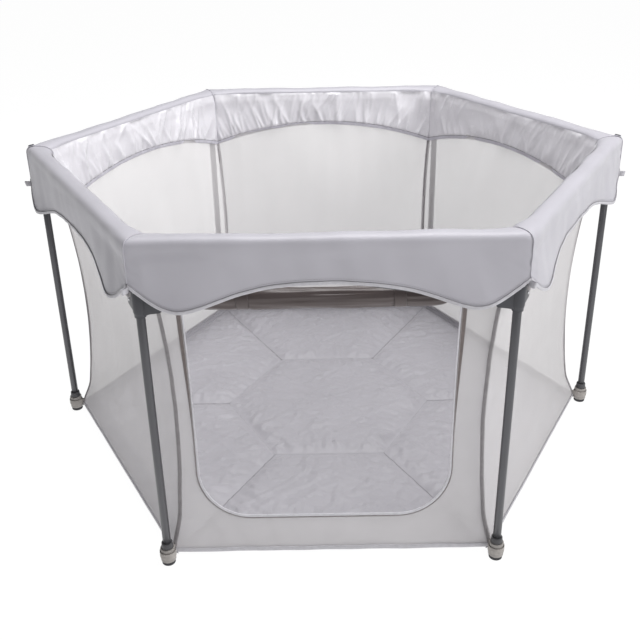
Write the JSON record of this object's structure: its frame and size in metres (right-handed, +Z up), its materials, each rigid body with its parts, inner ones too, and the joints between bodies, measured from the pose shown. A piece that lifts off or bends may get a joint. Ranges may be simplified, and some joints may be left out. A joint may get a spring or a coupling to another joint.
{
  "type": "travel play yard",
  "caption": "Hexagonal pop-up play yard with upright legs, a folding scissor frame, a padded floor and a zipped doorway in a mesh wall.",
  "frame": {"origin": "centre of the hexagon, on the ground under the feet", "axes": "+Z up, -Y towards the doorway, +X through the right-hand leg"},
  "size_m": [1.2648, 1.0966, 0.6575],
  "materials": {
    "frame_tube": "satin powder coat",
    "bracket_plastic": "fine moulded texture",
    "foot_plastic": "moulded, with a dark rubber pad",
    "sprung_steel": "zinc plated",
    "rod_steel": "satin powder coat",
    "cover_satin": "polyester satin",
    "wall_mesh": "fine knitted mesh",
    "floor_quilt": "quilted padded cloth",
    "webbing": "woven tape",
    "zip_metal": "painted"
  },
  "bodies": {
    "leg_right": {"leg_right": "frame_tube", "top_bracket_right": "bracket_plastic", "foot_right": "foot_plastic", "side_panel_right_back": "cover_satin"},
    "leg_back_right": {"leg_back_right": "frame_tube", "top_bracket_back_right": "bracket_plastic", "foot_back_right": "foot_plastic", "side_panel_back": "cover_satin"},
    "leg_back_left": {"leg_back_left": "frame_tube", "top_bracket_back_left": "bracket_plastic", "foot_back_left": "foot_plastic", "side_panel_left_back": "cover_satin"},
    "leg_left": {"leg_left": "frame_tube", "top_bracket_left": "bracket_plastic", "foot_left": "foot_plastic", "side_panel_left_front": "cover_satin"},
    "leg_front_left": {"leg_front_left": "frame_tube", "top_bracket_front_left": "bracket_plastic", "foot_front_left": "foot_plastic", "side_panel_front": "cover_satin", "door_roll": "wall_mesh", "door_tie_left": "webbing", "door_tie_right": "webbing"},
    "leg_front_right": {"leg_front_right": "frame_tube", "top_bracket_front_right": "bracket_plastic", "foot_front_right": "foot_plastic", "side_panel_right_front": "cover_satin"},
    "slider_right": {"slider_right": "bracket_plastic"},
    "slider_back_right": {"slider_back_right": "bracket_plastic"},
    "slider_back_left": {"slider_back_left": "bracket_plastic"},
    "slider_left": {"slider_left": "bracket_plastic"},
    "slider_front_left": {"slider_front_left": "bracket_plastic"},
    "slider_front_right": {"slider_front_right": "bracket_plastic"},
    "lock_button_right": {"lock_button_right": "sprung_steel"},
    "lock_button_back_right": {"lock_button_back_right": "sprung_steel"},
    "lock_button_back_left": {"lock_button_back_left": "sprung_steel"},
    "lock_button_left": {"lock_button_left": "sprung_steel"},
    "lock_button_front_left": {"lock_button_front_left": "sprung_steel"},
    "lock_button_front_right": {"lock_button_front_right": "sprung_steel"},
    "rod_outer_right_back": {"rod_outer_right_back": "rod_steel"},
    "rod_inner_right_back": {"rod_inner_right_back": "rod_steel"},
    "floor_right_back": {"floor_panel_right_back": "floor_quilt"},
    "rod_outer_back": {"rod_outer_back": "rod_steel"},
    "rod_inner_back": {"rod_inner_back": "rod_steel"},
    "floor_back": {"floor_panel_back": "floor_quilt"},
    "rod_outer_left_back": {"rod_outer_left_back": "rod_steel"},
    "rod_inner_left_back": {"rod_inner_left_back": "rod_steel"},
    "floor_left_back": {"floor_panel_left_back": "floor_quilt"},
    "rod_outer_left_front": {"rod_outer_left_front": "rod_steel"},
    "rod_inner_left_front": {"rod_inner_left_front": "rod_steel"},
    "floor_left_front": {"floor_panel_left_front": "floor_quilt"},
    "rod_outer_front": {"rod_outer_front": "rod_steel"},
    "rod_inner_front": {"rod_inner_front": "rod_steel"},
    "floor_front": {"floor_panel_front": "floor_quilt"},
    "rod_outer_right_front": {"rod_outer_right_front": "rod_steel"},
    "rod_inner_right_front": {"rod_inner_right_front": "rod_steel"},
    "floor_right_front": {"floor_panel_right_front": "floor_quilt"},
    "zip_slider": {"zip_slider": "zip_metal"},
    "zip_pull": {"zip_pull": "zip_metal"}
  },
  "joints": [
    {"name": "fold", "type": "hinge", "parent": "leg_back_left", "child": "rod_outer_left_back", "pos_m": [-0.32, 0.5023, 0.626], "axis": [0.866, -0.5, 0], "range_deg": [0, 73.5], "deforming": ["side_panel_right_back", "side_panel_back", "side_panel_left_back", "side_panel_left_front", "side_panel_front", "side_panel_right_front", "door_roll", "door_tie_left", "door_tie_right", "floor_panel_right_back", "floor_panel_back", "floor_panel_left_back", "floor_panel_left_front", "floor_panel_front", "floor_panel_right_front"]},
    {"name": "rod_cross_left_back", "type": "hinge", "parent": "rod_outer_left_back", "child": "rod_inner_left_back", "pos_m": [-0.4575, 0.26414, 0.581], "axis": [-0.866, 0.5, 0], "range_deg": [-0.5, 147.5]},
    {"name": "leg_left_hinge", "type": "hinge", "parent": "rod_inner_left_back", "child": "leg_left", "pos_m": [-0.595, 0.02598, 0.626], "axis": [0.866, -0.5, 0], "range_deg": [-0.5, 74]},
    {"name": "slider_left_hinge", "type": "hinge", "parent": "rod_outer_left_back", "child": "slider_left", "pos_m": [-0.595, 0.02598, 0.536], "axis": [-0.866, 0.5, 0], "range_deg": [-0.5, 74]},
    {"name": "rod_outer_left_front_hinge", "type": "hinge", "parent": "leg_left", "child": "rod_outer_left_front", "pos_m": [-0.595, -0.02598, 0.626], "axis": [0.866, 0.5, 0], "range_deg": [-0.5, 74]},
    {"name": "rod_cross_left_front", "type": "hinge", "parent": "rod_outer_left_front", "child": "rod_inner_left_front", "pos_m": [-0.4575, -0.26414, 0.581], "axis": [-0.866, -0.5, 0], "range_deg": [-0.5, 147.5]},
    {"name": "leg_front_left_hinge", "type": "hinge", "parent": "rod_inner_left_front", "child": "leg_front_left", "pos_m": [-0.32, -0.5023, 0.626], "axis": [0.866, 0.5, 0], "range_deg": [-0.5, 74]},
    {"name": "slider_front_left_hinge", "type": "hinge", "parent": "rod_outer_left_front", "child": "slider_front_left", "pos_m": [-0.32, -0.5023, 0.536], "axis": [-0.866, -0.5, 0], "range_deg": [-0.5, 74]},
    {"name": "rod_outer_front_hinge", "type": "hinge", "parent": "leg_front_left", "child": "rod_outer_front", "pos_m": [-0.275, -0.52828, 0.626], "axis": [0, 1, 0], "range_deg": [-0.5, 74]},
    {"name": "rod_cross_front", "type": "hinge", "parent": "rod_outer_front", "child": "rod_inner_front", "pos_m": [0, -0.52828, 0.581], "axis": [0, -1, 0], "range_deg": [-0.5, 147.5]},
    {"name": "leg_front_right_hinge", "type": "hinge", "parent": "rod_inner_front", "child": "leg_front_right", "pos_m": [0.275, -0.52828, 0.626], "axis": [0, 1, 0], "range_deg": [-0.5, 74]},
    {"name": "slider_front_right_hinge", "type": "hinge", "parent": "rod_outer_front", "child": "slider_front_right", "pos_m": [0.275, -0.52828, 0.536], "axis": [0, -1, 0], "range_deg": [-0.5, 74]},
    {"name": "rod_inner_back_hinge", "type": "hinge", "parent": "leg_back_left", "child": "rod_inner_back", "pos_m": [-0.275, 0.52828, 0.626], "axis": [0, 1, 0], "range_deg": [-0.5, 74]},
    {"name": "rod_cross_back", "type": "hinge", "parent": "rod_inner_back", "child": "rod_outer_back", "pos_m": [0, 0.52828, 0.581], "axis": [0, -1, 0], "range_deg": [-0.5, 147.5]},
    {"name": "leg_back_right_hinge", "type": "hinge", "parent": "rod_outer_back", "child": "leg_back_right", "pos_m": [0.275, 0.52828, 0.626], "axis": [0, 1, 0], "range_deg": [-0.5, 74]},
    {"name": "slider_back_left_hinge", "type": "hinge", "parent": "rod_outer_back", "child": "slider_back_left", "pos_m": [-0.275, 0.52828, 0.536], "axis": [0, 1, 0], "range_deg": [-0.5, 74]},
    {"name": "rod_inner_right_back_hinge", "type": "hinge", "parent": "leg_back_right", "child": "rod_inner_right_back", "pos_m": [0.32, 0.5023, 0.626], "axis": [0.866, 0.5, 0], "range_deg": [-0.5, 74]},
    {"name": "rod_cross_right_back", "type": "hinge", "parent": "rod_inner_right_back", "child": "rod_outer_right_back", "pos_m": [0.4575, 0.26414, 0.581], "axis": [-0.866, -0.5, 0], "range_deg": [-0.5, 147.5]},
    {"name": "leg_right_hinge", "type": "hinge", "parent": "rod_outer_right_back", "child": "leg_right", "pos_m": [0.595, 0.02598, 0.626], "axis": [0.866, 0.5, 0], "range_deg": [-0.5, 74]},
    {"name": "slider_back_right_hinge", "type": "hinge", "parent": "rod_outer_right_back", "child": "slider_back_right", "pos_m": [0.32, 0.5023, 0.536], "axis": [0.866, 0.5, 0], "range_deg": [-0.5, 74]},
    {"name": "rod_outer_right_front_hinge", "type": "hinge", "parent": "leg_front_right", "child": "rod_outer_right_front", "pos_m": [0.32, -0.5023, 0.626], "axis": [-0.866, 0.5, 0], "range_deg": [-0.5, 74]},
    {"name": "rod_inner_right_front_hinge", "type": "hinge", "parent": "leg_right", "child": "rod_inner_right_front", "pos_m": [0.595, -0.02598, 0.626], "axis": [0.866, -0.5, 0], "range_deg": [-0.5, 74]},
    {"name": "slider_right_hinge", "type": "hinge", "parent": "rod_outer_right_front", "child": "slider_right", "pos_m": [0.595, -0.02598, 0.536], "axis": [0.866, -0.5, 0], "range_deg": [-0.5, 74]},
    {"name": "floor_right_back_hinge", "type": "hinge", "parent": "leg_right", "child": "floor_right_back", "pos_m": [0.43672, 0.25214, 0.0015], "axis": [-0.5, 0.866, 0], "range_deg": [-0.5, 80.39]},
    {"name": "floor_back_hinge", "type": "hinge", "parent": "leg_back_right", "child": "floor_back", "pos_m": [0, 0.50428, 0.0015], "axis": [-1, 0, 0], "range_deg": [-0.5, 80.39]},
    {"name": "floor_left_back_hinge", "type": "hinge", "parent": "leg_back_left", "child": "floor_left_back", "pos_m": [-0.43672, 0.25214, 0.0015], "axis": [-0.5, -0.866, 0], "range_deg": [-0.5, 80.39]},
    {"name": "floor_left_front_hinge", "type": "hinge", "parent": "leg_left", "child": "floor_left_front", "pos_m": [-0.43672, -0.25214, 0.0015], "axis": [0.5, -0.866, 0], "range_deg": [-0.5, 80.39]},
    {"name": "floor_front_hinge", "type": "hinge", "parent": "leg_front_left", "child": "floor_front", "pos_m": [0, -0.50428, 0.0015], "axis": [1, 0, 0], "range_deg": [-0.5, 80.39]},
    {"name": "floor_right_front_hinge", "type": "hinge", "parent": "leg_front_right", "child": "floor_right_front", "pos_m": [0.43672, -0.25214, 0.0015], "axis": [0.5, 0.866, 0], "range_deg": [-0.5, 80.39]},
    {"name": "lock_button_right_press", "type": "slide", "parent": "leg_right", "child": "lock_button_right", "axis": [1, 0, 0], "range_m": [-0.0034, 0], "stiffness_N_per_m": 300},
    {"name": "lock_button_back_right_press", "type": "slide", "parent": "leg_back_right", "child": "lock_button_back_right", "axis": [0.5, 0.866, 0], "range_m": [-0.0034, 0], "stiffness_N_per_m": 300},
    {"name": "lock_button_back_left_press", "type": "slide", "parent": "leg_back_left", "child": "lock_button_back_left", "axis": [-0.5, 0.866, 0], "range_m": [-0.0034, 0], "stiffness_N_per_m": 300},
    {"name": "lock_button_left_press", "type": "slide", "parent": "leg_left", "child": "lock_button_left", "axis": [-1, 0, 0], "range_m": [-0.0034, 0], "stiffness_N_per_m": 300},
    {"name": "lock_button_front_left_press", "type": "slide", "parent": "leg_front_left", "child": "lock_button_front_left", "axis": [-0.5, -0.866, 0], "range_m": [-0.0034, 0], "stiffness_N_per_m": 300},
    {"name": "lock_button_front_right_press", "type": "slide", "parent": "leg_front_right", "child": "lock_button_front_right", "axis": [0.5, -0.866, 0], "range_m": [-0.0034, 0], "stiffness_N_per_m": 300},
    {"name": "zip_travel", "type": "hinge", "parent": "leg_front_left", "child": "zip_slider", "pos_m": [-0.2422, -1.93417, 0.29], "axis": [-1, 0, 0], "range_deg": [0, 14.6]},
    {"name": "zip_pull_swing", "type": "hinge", "parent": "zip_slider", "child": "zip_pull", "pos_m": [-0.2422, -0.50238, 0.54325], "axis": [-1, 0, 0], "range_deg": [0, 25]}
  ],
  "couplings": [
    {"joint": "rod_cross_left_back", "follows": "fold", "ratio": 2},
    {"joint": "leg_left_hinge", "follows": "fold", "ratio": 1},
    {"joint": "slider_left_hinge", "follows": "fold", "ratio": 1},
    {"joint": "rod_outer_left_front_hinge", "follows": "fold", "ratio": 1},
    {"joint": "rod_cross_left_front", "follows": "fold", "ratio": 2},
    {"joint": "leg_front_left_hinge", "follows": "fold", "ratio": 1},
    {"joint": "slider_front_left_hinge", "follows": "fold", "ratio": 1},
    {"joint": "rod_outer_front_hinge", "follows": "fold", "ratio": 1},
    {"joint": "rod_cross_front", "follows": "fold", "ratio": 2},
    {"joint": "leg_front_right_hinge", "follows": "fold", "ratio": 1},
    {"joint": "slider_front_right_hinge", "follows": "fold", "ratio": 1},
    {"joint": "rod_inner_back_hinge", "follows": "fold", "ratio": 1},
    {"joint": "rod_cross_back", "follows": "fold", "ratio": 2},
    {"joint": "leg_back_right_hinge", "follows": "fold", "ratio": 1},
    {"joint": "slider_back_left_hinge", "follows": "fold", "ratio": 1},
    {"joint": "rod_inner_right_back_hinge", "follows": "fold", "ratio": 1},
    {"joint": "rod_cross_right_back", "follows": "fold", "ratio": 2},
    {"joint": "leg_right_hinge", "follows": "fold", "ratio": 1},
    {"joint": "slider_back_right_hinge", "follows": "fold", "ratio": 1},
    {"joint": "rod_outer_right_front_hinge", "follows": "fold", "ratio": 1},
    {"joint": "rod_inner_right_front_hinge", "follows": "fold", "ratio": 1},
    {"joint": "slider_right_hinge", "follows": "fold", "ratio": 1},
    {"joint": "floor_right_back_hinge", "follows": "fold", "ratio": 1.087},
    {"joint": "floor_back_hinge", "follows": "fold", "ratio": 1.087},
    {"joint": "floor_left_back_hinge", "follows": "fold", "ratio": 1.087},
    {"joint": "floor_left_front_hinge", "follows": "fold", "ratio": 1.087},
    {"joint": "floor_front_hinge", "follows": "fold", "ratio": 1.087},
    {"joint": "floor_right_front_hinge", "follows": "fold", "ratio": 1.087}
  ]
}
